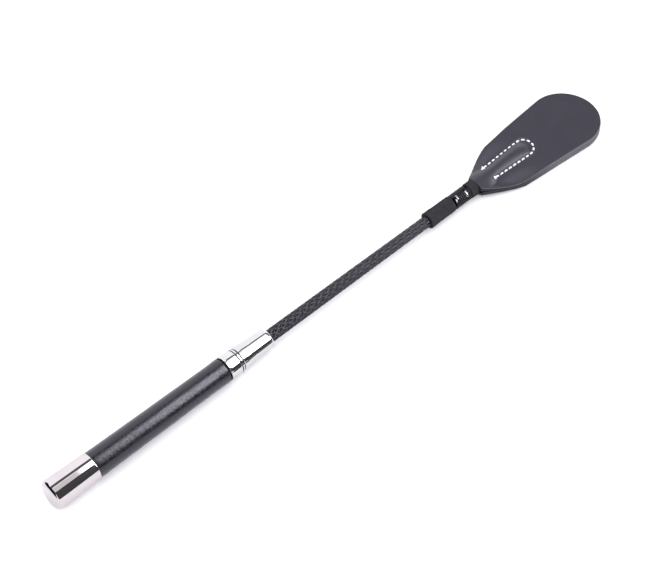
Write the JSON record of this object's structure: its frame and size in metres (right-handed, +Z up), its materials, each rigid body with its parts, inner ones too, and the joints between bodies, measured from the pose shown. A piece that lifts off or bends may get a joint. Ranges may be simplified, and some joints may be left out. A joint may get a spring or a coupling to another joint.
{
  "type": "riding crop",
  "caption": "Short riding crop with a chrome end cap and ferrule, a leather-covered handle, a braided flexible shaft and a stitched leather popper that bends.",
  "frame": {"origin": "centre of the crop's bounding box, on the surface it lies on", "axes": "+X along the crop from the end cap to the popper's tip, +Y across it, +Z up from the surface"},
  "size_m": [0.4602, 0.0472, 0.0207],
  "materials": {
    "chrome": "polished chrome plating",
    "grip_leather": "smooth fine-grained black leather, slightly shiny",
    "popper_leather": "matt dark grey leather",
    "braid_nylon": "tight charcoal nylon braid",
    "neck_textile": "matt black textile tape",
    "waxed_thread": "waxed black thread",
    "stitch_thread": "white sewing thread",
    "fibreglass": "pale ground fibreglass",
    "black_plastic": "black moulded plastic",
    "white_plastic": "off-white extruded plastic"
  },
  "bodies": {
    "crop": {"end_cap": "chrome", "butt_plug": "black_plastic", "handle_tube": "white_plastic", "grip_cover": "grip_leather", "rod_rear_bush": "black_plastic", "ferrule_collar": "chrome", "ferrule_barrel": "chrome", "ferrule_bush": "black_plastic", "shaft_rod": "fibreglass", "rod_tip_cap": "black_plastic", "shaft_braid": "braid_nylon", "neck_sleeve": "neck_textile", "neck_whipping": "waxed_thread", "neck_band": "neck_textile", "popper_top_root": "popper_leather", "popper_bottom_root": "popper_leather", "stitch_thread_top": "stitch_thread", "stitch_thread_under": "stitch_thread"},
    "popper_flap": {"popper_top_flap": "popper_leather", "popper_bottom_flap": "popper_leather"}
  },
  "joints": [
    {"name": "popper_flex", "type": "hinge", "parent": "crop", "child": "popper_flap", "pos_m": [0.18206, 0, 0.00305], "axis": [0, 1, 0], "range_deg": [-35, 35], "stiffness_Nm_per_rad": 0.12}
  ]
}
